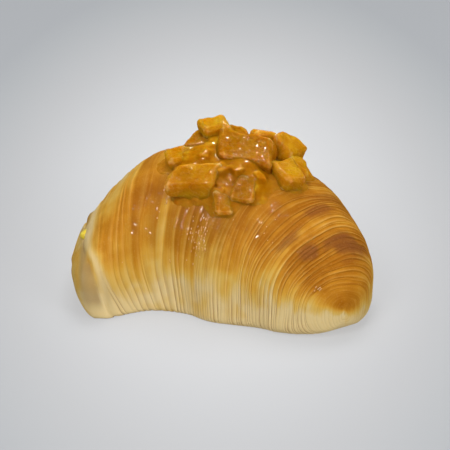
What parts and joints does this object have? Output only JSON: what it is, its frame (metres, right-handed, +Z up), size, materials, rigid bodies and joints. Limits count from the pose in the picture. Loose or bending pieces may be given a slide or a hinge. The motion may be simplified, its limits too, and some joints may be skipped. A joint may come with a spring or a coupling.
{
  "type": "sfogliatella",
  "caption": "Baked shell-shaped pastry of thin shingled leaves with a cream filling at its mouth and a heap of glazed candied fruit pieces on its back.",
  "frame": {"origin": "centre of the bounding box in plan, on the surface the pastry rests on", "axes": "+Z up; +X from the mouth towards the blunt tip; -Y towards the hollow side, where the tip curls round"},
  "size_m": [0.1172, 0.0891, 0.0659],
  "materials": {
    "crust": "baked leaves, satin where the syrup runs",
    "cream": "smooth and moist",
    "candied_fruit": "wet with syrup"
  },
  "bodies": {
    "root": {"pastry": "crust", "cream_filling": "cream", "candied_fruit_01": "candied_fruit", "candied_fruit_02": "candied_fruit", "candied_fruit_03": "candied_fruit", "candied_fruit_04": "candied_fruit", "candied_fruit_05": "candied_fruit", "candied_fruit_06": "candied_fruit", "candied_fruit_07": "candied_fruit", "candied_fruit_08": "candied_fruit", "candied_fruit_09": "candied_fruit", "candied_fruit_10": "candied_fruit", "candied_fruit_11": "candied_fruit", "candied_fruit_12": "candied_fruit", "candied_fruit_13": "candied_fruit"}
  },
  "joints": []
}
